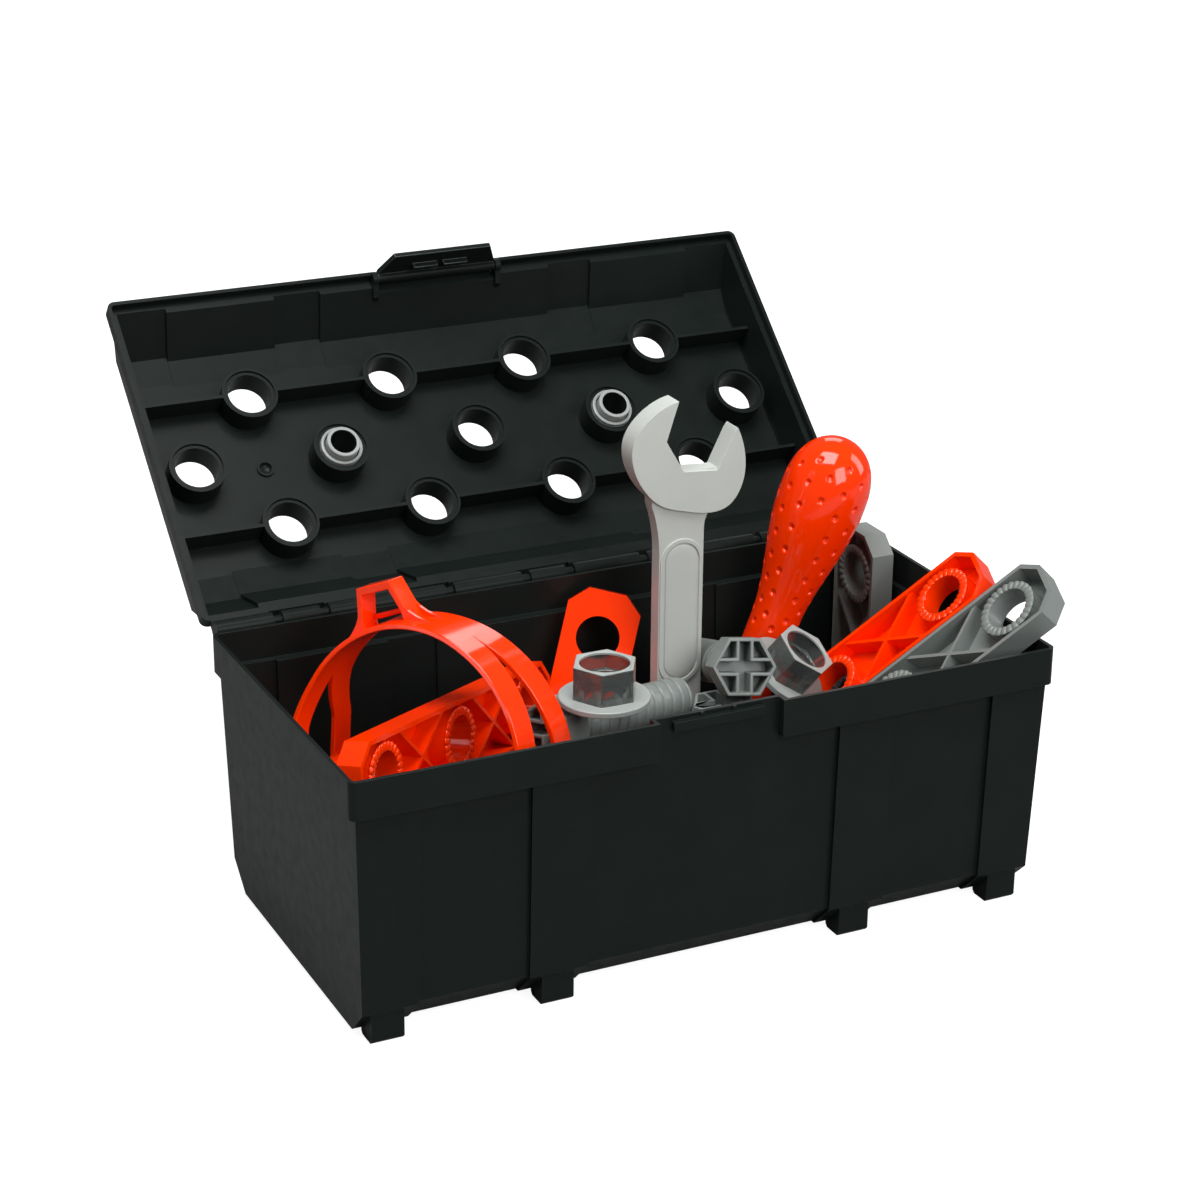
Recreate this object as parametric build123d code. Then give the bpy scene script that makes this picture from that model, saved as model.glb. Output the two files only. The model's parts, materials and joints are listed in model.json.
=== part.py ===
from build123d import *
import math
import os

# A child's toy tool box, open and filled with toy tools. It is drawn about the middle of the box's
# footprint, with X to the right, Y to the back and Z up, and written with the middle of the whole
# thing's footprint as the origin. Sizes in mm, angles in degrees.

# Shared: the gap between neighbours that don't touch, and how far a cut runs past the face it opens
running_gap = 0.3
cut_over = 1.0

# The box: overall sizes over its rim, and the moulding's walls
box_length = 370.0
box_depth = 190.0
box_height = 138.0
wall = 2.0
rim_height = 19.0
rim_proud = 3.0
corner_round = 4.0
edge_round = 0.8
end_draft = 2.5
face_draft = 4.0
chamfer_run = 14.0
chamfer_rise = 14.0
floor_gap = 3.0
# Pilasters on the long walls
pilaster_proud = 2.5
inner_pilaster_from = 65.5
inner_pilaster_to = 95.6
outer_pilaster_from = 151.5
# Feet
foot_width = 16.5
foot_depth = 13.0
foot_setback = 8.0
foot_rise = 18.0
# Catch on the front rim
catch_recess = 65.0
catch_length = 48.0
catch_height = 4.5
catch_drop = 2.2
catch_rib = 1.6
catch_rib_apart = 17.0

# Hinge
hinge_behind = 6.0
hinge_below = 1.0
barrel_radius = 4.6
pin_radius = 2.4
pin_clearance = 0.1
window_width = 30.0
window_pitch = 68.0
window_count = 5
knuckle_width = 20.0
knuckle_wall = 1.9
stop_width = 2.4
stop_gap = 0.15
web_thickness = 2.2
open_angle = 138.0

# Lid
lid_rim_height = 6.5
lid_shoulder_height = 27.0
lid_shoulder_in = 17.0
lid_height = 30.5
lid_roof_in = 32.0
lid_end_draft = 3.0
socket_pitch = 79.3
socket_row_pitch = 39.2
socket_outer_radius = 15.0
socket_bore_radius = 11.6
socket_mouth_height = 15.0
socket_key = 2.6
lid_rib = 1.8
dimple_radius = 4.6
dimple_depth = 1.2
dimple_ring = 1.2
notch_width = 69.0
notch_height = 7.0
ear_width = 3.0
ear_radius = 3.6
ear_height = 1.5
gusset_rise = 28.0
gusset_out = 5.0

# Latch flap
flap_width = 63.0
flap_tip_width = 56.0
flap_up = 4.2
flap_down = 18.0
flap_thickness = 2.6
flap_pin_radius = 1.7
flap_gap = 0.3
hook_length = 14.0
hook_apart = 17.5
hook_reach = 3.0
hook_height = 1.4

# Folding carry handle and the two plugs that hold it in the lid
plug_clearance = 0.15
plug_tip_radius = 7.25
plug_tip_bore_radius = 5.75
plug_tip_proud = 5.0
plug_flange_radius = 14.0
plug_flange = 3.0
lug_width = 7.0
lug_radius = 8.0
lug_reach = 11.0
handle_pin_radius = 3.0
handle_eye = 6.0
handle_eye_radius = 7.5
handle_eye_gap = 0.3
handle_reach = 50.0
handle_rod_radius = 6.0
handle_grip_radius = 8.5
handle_grip_length = 96.0
handle_fold = 48.0

# Building beams: shallow channels with ring holes and crossed ribs
beam_width = 39.0
beam_depth = 13.0
beam_pitch = 75.0
beam_end = 25.0
beam_corner_along = 9.0
beam_corner_across = 9.5
beam_wall = 2.2
beam_base = 2.0
beam_rib = 1.8
beam_rib_below = 1.5
ring_outer_radius = 15.6
ring_bore_radius = 11.3
beam_draft = 1.0
beam_ring_counts = {
    "beam_orange_left": 3,
    "beam_orange_centre": 2,
    "beam_orange_right": 2,
    "beam_grey_right": 3,
    "beam_grey_back": 2,
}

# Bolts and nuts
bolt_length = 92.0
hex_across = 29.0
bolt_head = 15.0
bolt_shank_radius = 10.6
bolt_tip_chamfer = 1.6
bolt_head_wall = 1.7
bolt_slot = 5.6
bolt_pocket = 10.0
nut_height = 20.0
nut_flange_radius = 22.5
nut_flange = 3.0
nut_wall = 2.0
nut_mouth_depth = 9.0
nut_clearance = 0.6

# Wrench
wrench_head = 63.2
wrench_length = 242.0
wrench_stem = 25.0
wrench_thickness = 8.0
wrench_head_thickness = 12.0
wrench_ring_length = 78.5
wrench_ring_width = 24.0
wrench_ring_bar = 2.0
wrench_ring_proud = 0.8
wrench_ring_below = 55.8
wrench_eye_radius = 16.0
wrench_eye_hex = 17.0
# The head's outline as shares of its width: the shorter jaw, the longer, the gap, the root, the neck
wrench_outer_shares = (
    (-0.060, 0.897), (-0.283, 0.805), (-0.459, 0.568), (-0.437, 0.36), (-0.330, 0.17), (-0.18, 0.04),
)
wrench_right_shares = ((0.40, -0.03), (0.505, 0.10), (0.543, 0.335), (0.468, 0.611))
wrench_jaw_shares = ((-0.163, 0.578), (-0.005, 0.309), (0.293, 0.283), (0.440, 0.579))
wrench_base_shares = ((0.0, -0.02), (0.22, -0.065))
wrench_neck_shares = ((-0.27, 0.30), (-0.27, 0.05), (0.34, 0.05), (0.34, 0.30))
wrench_neck_run_shares = (0.39, 0.20)

# Hammer
hammer_bulb_radius = 23.0
hammer_neck_radius = 13.0
hammer_handle_length = 182.0
hammer_dome_radius = 19.0
hammer_bulb_below = 34.0
hammer_swell = 72.0
hammer_band_count = 5
hammer_face_radius = 16.0
hammer_face_length = 14.0
hammer_face_edge = 2.0
hammer_waist_radius = 12.5
hammer_waist = 12.0
hammer_eye_length = 34.0
hammer_eye_height = 34.0
hammer_eye_width = 30.0
hammer_peen_length = 36.0
hammer_peen_tip = 5.0
hammer_socket_radius = 10.0
hammer_socket_clearance = 0.1

# Ear defenders
arch_radius = 66.0
arch_thickness = 2.6
arch_top_width = 26.0
arch_end_width = 50.0
arch_slit_from = 48.0
arch_slit_width = 22.0
arch_leg = 53.0
loop_width = 34.0
loop_top_width = 20.0
loop_height = 19.0
loop_bar = 4.0
loop_depth = 12.0
cup_height = 83.0
cup_width = 72.0
cup_depth = 31.0
cup_wall = 2.5
cup_step = 3.0
cup_side_count = 36
cushion_thickness = 22.0
cushion_ring = 15.0

# Where each tool lies: its origin right of and behind the box's middle, and above its floor
tool_places = {
    "wrench": (43.00, 36.00, 185.61),
    "hammer": (87.85, 64.28, 30.24),
    "ear_defenders": (-108.00, 0.00, 94.48),
    "beam_orange_left": (-36.26, 42.53, 88.10),
    "beam_orange_centre": (17.61, 75.32, 103.47),
    "beam_orange_right": (167.59, -15.83, 136.02),
    "beam_grey_right": (175.40, -63.28, 144.58),
    "beam_grey_back": (164.70, 65.90, 118.46),
    "bolt_centre": (58.94, -8.51, 111.81),
    "bolt_front": (50.50, -2.00, 92.30),
    "bolt_left": (-53.56, -15.49, 101.00),
    "nut_left": (-27.70, -25.71, 116.57),
    "nut_right": (97.65, 19.71, 90.31),
}
# and how it is turned, about X, then its own Y, then its own Z
tool_turns = {
    "wrench": (-0.0, 0.0, 0.0),
    "hammer": (4.1, 19.3, 0.0),
    "ear_defenders": (-3.2, 4.7, 34.1),
    "beam_orange_left": (81.0, 40.4, -3.4),
    "beam_orange_centre": (-113.8, 24.1, -67.5),
    "beam_orange_right": (-0.5, -47.5, -23.1),
    "beam_grey_right": (-0.5, -47.5, -23.1),
    "beam_grey_back": (0.0, -90.0, 0.0),
    "bolt_centre": (70.3, -10.4, -8.8),
    "bolt_front": (-0.0, 0.0, 0.0),
    "bolt_left": (71.6, -71.6, 83.2),
    "nut_left": (-0.0, 0.0, 0.0),
    "nut_right": (29.4, 23.5, -27.4),
}


def polygon(points):
    """A flat face from corner points in space."""
    return Face(Wire.make_polygon([Vector(*p) for p in points], close=True))


def stepped_ring(half_x, half_y, step, inset, height):
    """The box's outline at one height: its long sides stand out at the pilasters by step."""
    x = half_x - inset
    y = half_y - inset
    a = inner_pilaster_from + inset
    b = inner_pilaster_to - inset
    c = outer_pilaster_from + inset
    half = [(-x, -y), (-c, -y), (-c, step - y), (-b, step - y), (-b, -y), (-a, -y), (-a, step - y)]
    front = half + [(-px, py) for px, py in reversed(half)]
    back = [(-px, -py) for px, py in front]
    return polygon([(px, py, height) for px, py in front + back])


def shell_loft(rings):
    """A solid through stacked outlines with flat faces between them."""
    return Solid.make_loft([r.outer_wire() for r in rings], ruled=True)


half_length = box_length / 2
half_depth = box_depth / 2
rim_bottom = box_height - rim_height
wall_half_x = half_length - rim_proud
wall_half_y = half_depth - rim_proud


def rim_block(inset, low, high):
    """The rim band's rounded block, or its hollow."""
    band = Pos(0, 0, low) * extrude(
        RectangleRounded(box_length - 2 * inset, box_depth - 2 * inset, corner_round - inset), high - low
    )
    return band


def tub_core(inset):
    """The tub's drafted and chamfered body, or with an inset its hollow."""
    top = rim_bottom + (inset if inset else 0)
    slope_x = end_draft / rim_bottom
    slope_y = face_draft / rim_bottom
    low = floor_gap + inset
    bend = floor_gap + chamfer_rise + inset * math.tan(math.radians(45 / 2))

    def size_at(z):
        return wall_half_x - slope_x * (rim_bottom - z), wall_half_y - slope_y * (rim_bottom - z)

    rings = []
    for z, run in ((low, chamfer_run), (bend, 0), (top, 0)):
        x, y = size_at(z)
        back_off = run - inset * math.tan(math.radians(45 / 2)) if run else 0
        rings.append(stepped_ring(x, y - back_off, pilaster_proud, inset, z))
    return shell_loft(rings)


def foot(x, side):
    """One foot under a pilaster, running back to the flat underside."""
    face = half_depth - foot_setback
    block = Box(foot_width, foot_depth, foot_rise, align=(Align.CENTER, Align.MIN, Align.MIN))
    block = chamfer(block.edges().filter_by(Axis.X).group_by(Axis.Z)[0], 2 * edge_round)
    placed = Pos(x, -face, 0) * block
    return placed if side < 0 else placed.rotate(Axis.Z, 180)


def tub():
    """The open tub: drafted body, rim band with its catch, feet and hinge knuckles."""
    outer = tub_core(0)
    body = outer + rim_block(0, rim_bottom, box_height)
    body = body - rim_block(wall, rim_bottom + wall, box_height + cut_over)
    middle_inner = (inner_pilaster_from + inner_pilaster_to) / 2
    middle_outer = (outer_pilaster_from + wall_half_x) / 2
    for side in (-1, 1):
        for x in (-middle_outer, -middle_inner, middle_inner, middle_outer):
            body = body + foot(x, side)
    body = body - tub_core(wall)
    body = body - rim_cut()
    body = body + catch()
    for i in range(window_count):
        body = body + knuckle((i - (window_count - 1) / 2) * window_pitch)
    return body


def rim_cut():
    """What the rim band loses in front, where the latch flap lies."""
    panel = wall_half_y - pilaster_proud
    depth = half_depth - panel
    return Pos(0, -half_depth - cut_over, rim_bottom - cut_over) * Box(
        catch_recess,
        depth + cut_over,
        rim_height + 2 * cut_over,
        align=(Align.CENTER, Align.MIN, Align.MIN),
    )


def catch():
    """The recessed rim behind the latch with its catch bar and two small ribs."""
    panel = wall_half_y - pilaster_proud
    lower = (Align.CENTER, Align.MIN, Align.MIN)
    upper = (Align.CENTER, Align.MIN, Align.MAX)
    back = Pos(0, -panel, rim_bottom) * Box(catch_recess + 2 * wall, wall, rim_height, align=lower)
    cheeks = [
        Pos(side * (catch_recess + wall) / 2, -half_depth + wall / 2, rim_bottom)
        * Box(wall, half_depth - wall / 2 - panel, rim_height, align=lower)
        for side in (-1, 1)
    ]
    bar = Pos(0, -panel - rim_proud, box_height - catch_drop) * Box(
        catch_length, rim_proud + wall / 2, catch_height, align=upper
    )
    ribs = [
        Pos(side * catch_rib_apart / 2, -panel - rim_proud / 2, box_height)
        * Box(catch_rib, rim_proud / 2 + wall / 2, catch_drop + wall / 2, align=upper)
        for side in (-1, 1)
    ]
    result = back + bar
    for piece in cheeks + ribs:
        result = result + piece
    return result


hinge_y = half_depth + hinge_behind
hinge_z = box_height - hinge_below
hinge_axis = Axis((0, hinge_y, hinge_z), (1, 0, 0))


def rod(x_from, x_to, y, z, radius):
    """A round bar along X."""
    return Pos(x_from, y, z) * Rot(0, 90, 0) * Cylinder(
        radius, x_to - x_from, align=(Align.CENTER, Align.CENTER, Align.MIN)
    )


def knuckle(x):
    """An eye on the rear rim that turns about the lid's hinge pin."""
    eye_radius = pin_radius + pin_clearance + knuckle_wall
    eye = rod(x - knuckle_width / 2, x + knuckle_width / 2, hinge_y, hinge_z, eye_radius)
    arm = Pos(x, half_depth - wall / 2, hinge_z) * Box(
        knuckle_width, hinge_behind + wall / 2, 2 * eye_radius, align=(Align.CENTER, Align.MIN, Align.MAX)
    )
    hole = rod(x - knuckle_width, x + knuckle_width, hinge_y, hinge_z, pin_radius + pin_clearance)
    trim = Pos(x, hinge_y, hinge_z) * Box(
        2 * knuckle_width, 4 * eye_radius, 4 * eye_radius, align=(Align.CENTER, Align.MIN, Align.MAX)
    )
    return (arm - (trim - rod(x - 2 * knuckle_width, x + 2 * knuckle_width, hinge_y, hinge_z, eye_radius))
            + eye) - hole


# Lid, drawn shut on the box and then turned back about the hinge
lid_base = box_height


def lid_core(inset):
    """The lid's raised body, or with an inset its hollow."""
    low = lid_base + lid_rim_height - (inset if inset else 0)
    bend = inset * math.tan(math.radians(45 / 2))
    levels = (
        (low, 0, 0),
        (lid_base + lid_shoulder_height - bend, lid_shoulder_in, lid_end_draft / 2),
        (lid_base + lid_height - inset, lid_roof_in, lid_end_draft),
    )
    rings = []
    for z, y_in, x_in in levels:
        step = pilaster_proud * (1 - y_in / (half_depth * 2))
        rings.append(stepped_ring(wall_half_x - x_in, wall_half_y - y_in, step, inset, z))
    return shell_loft(rings)


def socket_places():
    """Centres of the lid's sockets: rows of four, five and four, staggered."""
    places = []
    for row, count in ((-1, 4), (0, 5), (1, 4)):
        for i in range(count):
            places.append(((i - (count - 1) / 2) * socket_pitch, row * socket_row_pitch))
    return places


roof_inner = lid_base + lid_height - wall
mouth_z = lid_base + socket_mouth_height


def lid_shut():
    """The lid as it lies when the box is shut."""
    body = lid_core(0) + rim_block(0, lid_base, lid_base + lid_rim_height)
    body = body - rim_block(wall, lid_base - cut_over, lid_base + lid_rim_height - wall)
    body = body - lid_core(wall)
    for x, y in socket_places():
        body = body + Pos(x, y, mouth_z) * Cylinder(
            socket_outer_radius, roof_inner + wall / 2 - mouth_z,
            align=(Align.CENTER, Align.CENTER, Align.MIN),
        )
    for side in (-1, 1):
        body = body + Pos(0, side * socket_row_pitch, mouth_z) * Box(
            2 * (wall_half_x - lid_end_draft), lid_rib, roof_inner + wall / 2 - mouth_z,
            align=(Align.CENTER, Align.CENTER, Align.MIN),
        )
    for x, y in socket_places():
        body = body - socket_bore(x, y)
    for side in (-1, 1):
        body = body + dimple(side * 1.5 * socket_pitch)
    body = body - latch_notch()
    for side in (-1, 1):
        body = body + latch_ear(side)
    reach = notch_width / 2 + ear_width / 2 + flap_gap
    body = body - rod(-reach, reach, flap_axis_y, flap_axis_z, flap_pin_radius + pin_clearance)
    return body + hinge_barrel()


def socket_bore(x, y):
    """A socket's through hole with a key slot at its roof end."""
    top = lid_base + lid_height
    low = (Align.CENTER, Align.CENTER, Align.MIN)
    bore_length = top - mouth_z + 2 * cut_over
    bore = Pos(x, y, mouth_z - cut_over) * Cylinder(socket_bore_radius, bore_length, align=low)
    key = Pos(x - socket_bore_radius, y, roof_inner - socket_key) * Box(
        socket_key, socket_key, top + cut_over + socket_key - roof_inner, align=low
    )
    return bore + key


def dimple(x):
    """A small moulded ring on the inside of the roof."""
    high = (Align.CENTER, Align.CENTER, Align.MAX)
    ring = Cylinder(dimple_radius, dimple_depth + wall / 2, align=high)
    ring = ring - Cylinder(dimple_radius - dimple_ring, dimple_depth + wall / 2 + cut_over, align=high)
    return Pos(x, 0, roof_inner + wall / 2) * ring


def latch_notch():
    """The gap in the lid's front rim where the latch flap swings."""
    return Pos(0, -half_depth - cut_over, lid_base - cut_over) * Box(
        notch_width, rim_proud + pilaster_proud + 2 * wall + cut_over, notch_height + cut_over,
        align=(Align.CENTER, Align.MIN, Align.MIN),
    )


flap_axis_y = -half_depth + ear_radius
flap_axis_z = lid_base + ear_height


def latch_ear(side):
    """A round ear beside the notch with a gusset behind it."""
    x = side * (notch_width / 2 + ear_width / 2)
    ear = rod(x - ear_width / 2, x + ear_width / 2, flap_axis_y, flap_axis_z, ear_radius)
    deep = 2 * ear_radius + gusset_out
    outline = [
        (x, flap_axis_y - ear_radius, flap_axis_z),
        (x, flap_axis_y + ear_radius, flap_axis_z),
        (x, flap_axis_y - ear_radius + deep, lid_base + notch_height),
        (x, flap_axis_y - ear_radius + deep, lid_base + gusset_rise - deep / 2),
        (x, flap_axis_y - ear_radius + rim_proud, lid_base + lid_rim_height),
        (x, flap_axis_y - ear_radius, lid_base + lid_rim_height - wall / 2),
    ]
    web = extrude(polygon(outline), ear_width / 2, dir=(1, 0, 0), both=True)
    return ear + web


def hinge_barrel():
    """The rounded strip behind the lid, its windows bridged by the hinge pin, and its stops."""
    length = box_length - 2 * corner_round
    tube = rod(-length / 2, length / 2, hinge_y, hinge_z, barrel_radius)
    web = Pos(0, half_depth - wall, hinge_z + hinge_below) * Box(
        length, hinge_behind + wall, web_thickness + hinge_below, align=(Align.CENTER, Align.MIN, Align.MIN)
    )
    result = tube + web
    pin = rod(-length / 2, length / 2, hinge_y, hinge_z, pin_radius)
    places = [(i - (window_count - 1) / 2) * window_pitch for i in range(window_count)]
    for x in places:
        result = result - Pos(x, hinge_y, hinge_z) * Box(window_width, 4 * barrel_radius, 4 * barrel_radius)
    result = result + pin
    for x in places:
        for side in (-1, 1):
            result = result + stop_lug(x + side * (window_width + stop_width) / 2)
    return result


def stop_lug(x):
    """A lug on the barrel that meets the box's rear rim when the lid is fully open."""
    reach = hinge_behind - stop_gap
    corners = [(0, 0), (-reach, -reach / 3), (-reach, -reach * 2 / 3), (0, -barrel_radius)]
    turned = math.radians(open_angle)
    points = []
    for y, z in corners:
        points.append(
            (
                x,
                hinge_y + y * math.cos(turned) - z * math.sin(turned),
                hinge_z + y * math.sin(turned) + z * math.cos(turned),
            )
        )
    return extrude(polygon(points), stop_width / 2, dir=(1, 0, 0), both=True)


def opened(piece):
    """Turn a piece that is drawn on the shut lid to the lid's open place."""
    return piece.rotate(hinge_axis, -open_angle)


def latch_flap_shut():
    """The latch flap hanging flush in the lid's notch."""
    side = notch_width / 2 - flap_gap
    y = flap_axis_y - ear_radius
    z = flap_axis_z
    plate = polygon(
        [
            (-flap_width / 2, y, z + flap_up),
            (flap_width / 2, y, z + flap_up),
            (side, y, z + ear_radius),
            (side, y, z - ear_radius),
            (flap_tip_width / 2, y, z - flap_down),
            (-flap_tip_width / 2, y, z - flap_down),
            (-side, y, z - ear_radius),
            (-side, y, z + ear_radius),
        ]
    )
    body = extrude(plate, flap_thickness, dir=(0, 1, 0))
    body = body + rod(-side, side, flap_axis_y, z, flap_pin_radius + knuckle_wall / 2)
    body = body + Pos(0, y + flap_thickness / 2, z) * Box(
        2 * side, ear_radius - flap_thickness / 2, 2 * flap_pin_radius + knuckle_wall,
        align=(Align.CENTER, Align.MIN, Align.CENTER),
    )
    pin_end = notch_width / 2 + ear_width / 2
    body = body + rod(-pin_end, pin_end, flap_axis_y, z, flap_pin_radius)
    hook_z = box_height - catch_drop - catch_height - running_gap
    for side_x in (-1, 1):
        body = body + Pos(side_x * hook_apart / 2, y + flap_thickness / 2, hook_z) * Box(
            hook_length, hook_reach + flap_thickness / 2, hook_height,
            align=(Align.CENTER, Align.MIN, Align.MAX),
        )
    return body


def beam(holes):
    """A building beam: a shallow channel, ring bosses bored through and crossed ribs between them."""
    length_back = (holes - 1) * beam_pitch + beam_end
    half = beam_width / 2

    def outline(inset):
        a, b = beam_corner_along, beam_corner_across
        k = inset * math.tan(math.radians(45 / 2))
        xf, xb, y = beam_end - inset, -length_back + inset, half - inset
        return [
            (xf - a + k, -y), (xf, -y + b - k), (xf, y - b + k), (xf - a + k, y),
            (xb + a - k, y), (xb, y - b + k), (xb, -y + b - k), (xb + a - k, -y),
        ]

    def layer(inset, z):
        return polygon([(x, y, z) for x, y in outline(inset)])

    outer = shell_loft([layer(beam_draft / 2, -beam_depth), layer(0, 0)])
    hollow = shell_loft(
        [layer(beam_wall + beam_draft / 2, beam_base - beam_depth), layer(beam_wall, cut_over)]
    )
    body = outer - hollow
    centres = [-i * beam_pitch for i in range(holes)]
    high = (Align.CENTER, Align.CENTER, Align.MAX)
    for x in centres:
        body = body + Pos(x, 0, 0) * Cylinder(ring_outer_radius, beam_depth - beam_base / 2, align=high)
    rib_height = beam_depth - beam_base / 2 - beam_rib_below
    run = beam_pitch
    rise = beam_width - beam_wall
    slope = math.degrees(math.atan2(rise, run - 2 * ring_outer_radius + beam_wall))
    rib_length = math.hypot(rise, run - 2 * ring_outer_radius + beam_wall)
    for x in centres[:-1]:
        for turn in (-slope, slope):
            rib = Box(rib_length, beam_rib, rib_height, align=high)
            body = body + Pos(x - beam_pitch / 2, 0, -beam_rib_below) * Rot(0, 0, turn) * rib
    for x in centres:
        bore = Cylinder(ring_bore_radius, beam_depth + 2 * cut_over, align=high)
        body = body - Pos(x, 0, cut_over) * bore
    return body


def hexagon(across, height):
    """An upright hexagonal bar, standing on the origin."""
    return extrude(RegularPolygon(across / 2, 6, major_radius=False), height)


def bolt():
    """A toy bolt, head up: pocketed hexagon with a cross recess, and a plain shank."""
    low = (Align.CENTER, Align.CENTER, Align.MIN)
    head = Pos(0, 0, -bolt_head) * hexagon(hex_across, bolt_head)
    arm = bolt_slot + 2 * bolt_head_wall
    core = hexagon(hex_across - 2 * bolt_head_wall, bolt_pocket)

    def crossed(width):
        bar = Box(hex_across, width, bolt_pocket, align=low)
        return bar + Rot(0, 0, 90) * bar

    pockets = (core - crossed(arm)) + (crossed(bolt_slot) & core)
    head = head - Pos(0, 0, -bolt_pocket) * pockets
    shank = bolt_length - bolt_head
    profile = Polyline(
        (0, 0), (bolt_shank_radius, 0), (bolt_shank_radius, bolt_tip_chamfer - shank),
        (bolt_shank_radius - bolt_tip_chamfer, -shank), (0, -shank), close=True
    )
    return head + Pos(0, 0, -bolt_head) * revolve(Plane.XZ * make_face(profile), Axis.Z)


def nut():
    """A flanged toy nut, flange down, with an open hexagonal mouth and a threaded bore's space."""
    low = (Align.CENTER, Align.CENTER, Align.MIN)
    body = Cylinder(nut_flange_radius, nut_flange, align=low) + hexagon(hex_across, nut_height)
    bore = Cylinder(bolt_shank_radius + nut_clearance, nut_height + cut_over, align=low)
    bore = Pos(0, 0, -cut_over) * bore
    mouth = hexagon(hex_across - 2 * nut_wall, nut_mouth_depth + cut_over)
    mouth = Pos(0, 0, nut_height - nut_mouth_depth) * mouth
    return body - bore - mouth


def wrench():
    """An open-ended spanner, upright and facing -Y, from the bottom of its ring end."""

    def at(shares):
        return [(x * wrench_head, z * wrench_head) for x, z in shares]

    left, right, jaw, base = (
        at(t) for t in (wrench_outer_shares, wrench_right_shares, wrench_jaw_shares, wrench_base_shares)
    )
    outer = Spline(*left, *base, *right)
    inner = Polyline(right[-1], *reversed(jaw), left[0])
    head_face = make_face(Curve() + [outer, inner])
    head = extrude(Plane.XZ * head_face, wrench_head_thickness / 2, both=True)
    n = at(wrench_neck_shares)
    half = wrench_stem / 2
    reach_left, reach_right = (share * wrench_head for share in wrench_neck_run_shares)
    bottom = -(wrench_length - wrench_outer_shares[0][1] * wrench_head) + wrench_eye_radius
    flare_left = Spline(n[1], (-half, -reach_left), tangents=[(0.35, -1), (0, -1)])
    flare_right = Spline((half, -reach_right), n[2], tangents=[(0, 1), (0.8, 1)])
    stem_edge = Polyline((-half, -reach_left), (-half, bottom), (half, bottom), (half, -reach_right))
    stem_top = Polyline(n[2], n[3], n[0], n[1])
    stem_face = make_face(Curve() + [flare_left, stem_edge, flare_right, stem_top])
    stem = extrude(Plane.XZ * stem_face, wrench_thickness / 2, both=True)
    eye = Pos(0, 0, bottom) * Rot(90, 0, 0) * Cylinder(wrench_eye_radius, wrench_head_thickness)
    body = head + stem + eye
    hole = Pos(0, 0, -wrench_head_thickness) * hexagon(wrench_eye_hex, 2 * wrench_head_thickness)
    body = body - Pos(0, 0, bottom) * Rot(90, 0, 0) * hole
    mark = SlotOverall(wrench_ring_length, wrench_ring_width) - SlotOverall(
        wrench_ring_length - 2 * wrench_ring_bar, wrench_ring_width - 2 * wrench_ring_bar
    )
    mark = extrude(mark, wrench_thickness / 2 + wrench_ring_proud, both=True)
    return body + Pos(0, 0, -wrench_ring_below) * Rot(90, 0, 0) * Rot(0, 0, 90) * mark


def oval_points(centre, radii, from_angle, to_angle, count):
    """Points on an oval's arc, each a pair across and along, for an outline of short straight lines."""
    points = []
    for i in range(count + 1):
        angle = math.radians(from_angle + (to_angle - from_angle) * i / count)
        points.append((centre[0] + radii[0] * math.cos(angle), centre[1] + radii[1] * math.sin(angle)))
    return points


def hammer_handle():
    """The swelling grip, drawn as narrow cones, down to the peg in the head's eye."""
    low = hammer_eye_height / 2 + hammer_socket_clearance
    top = hammer_handle_length
    bulb_z = top - hammer_bulb_below
    crown = hammer_bulb_radius * 11 / 12 - hammer_dome_radius
    dome = oval_points(
        (crown, top - hammer_dome_radius), (hammer_dome_radius, hammer_dome_radius), 90, 0, hammer_band_count
    )
    swell = []
    for i in range(2 * hammer_band_count + 1):
        share = i / (2 * hammer_band_count)
        fall = (hammer_bulb_radius - hammer_neck_radius) * (1 - math.cos(math.pi * share)) / 2
        swell.append((hammer_bulb_radius - fall, bulb_z - share * hammer_swell))
    points = [(0, top)] + dome + swell
    points += [(hammer_neck_radius, low), (hammer_socket_radius, low), (hammer_socket_radius, 0), (0, 0)]
    return revolve(Plane.XZ * make_face(Polyline(*points, close=True)), Axis.Z)


def hammer_head():
    """The hammer's head along X: striking face, waist, eye block and a tapering peen."""
    half = hammer_eye_length / 2
    waist_to = half + hammer_waist
    face_to = waist_to + hammer_face_length
    edge = hammer_face_edge
    profile = Polyline(
        (0, half - wall), (hammer_waist_radius, half - wall), (hammer_waist_radius, waist_to),
        (hammer_face_radius, waist_to + edge), (hammer_face_radius, face_to - edge),
        (hammer_face_radius - edge, face_to), (0, face_to), close=True
    )
    striker = Rot(0, 90, 0) * revolve(Plane.XZ * make_face(profile), Axis.Z)
    eye = Box(hammer_eye_length, hammer_eye_width, hammer_eye_height)
    eye = chamfer(eye.edges().filter_by(Axis.X), 3 * edge)

    def end(x, y, z):
        return polygon([(-x, -y, -z), (-x, y, -z), (-x, y, z), (-x, -y, z)])

    peen = shell_loft(
        [
            end(half - wall, hammer_waist_radius, hammer_waist_radius),
            end(half + hammer_peen_length, hammer_waist_radius, hammer_peen_tip / 2),
        ]
    )
    socket = Cylinder(
        hammer_socket_radius + hammer_socket_clearance, hammer_eye_height / 2 + cut_over,
        align=(Align.CENTER, Align.CENTER, Align.MIN),
    )
    return striker + eye + peen - socket


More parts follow.
